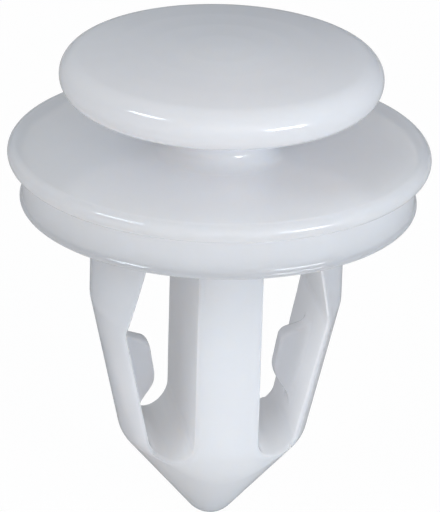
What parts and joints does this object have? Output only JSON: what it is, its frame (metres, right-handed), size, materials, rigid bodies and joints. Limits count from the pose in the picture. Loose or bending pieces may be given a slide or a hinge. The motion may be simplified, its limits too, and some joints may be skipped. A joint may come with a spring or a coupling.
{
  "type": "trim clip",
  "caption": "Moulded push-in trim clip: domed head and lipped flange on a short neck, over a slotted, cone-tipped stem with sprung snap-in legs.",
  "frame": {"origin": "on the clip axis, in the plane of the seat under the flange", "axes": "+Z along the clip axis, from the stem up to the head; +X from the axis through one leg; +Y through the back of the centre plate"},
  "size_m": [0.02, 0.02, 0.0242],
  "materials": {
    "clip": "gloss"
  },
  "bodies": {
    "root": {"clip_body": "clip"}
  },
  "joints": []
}
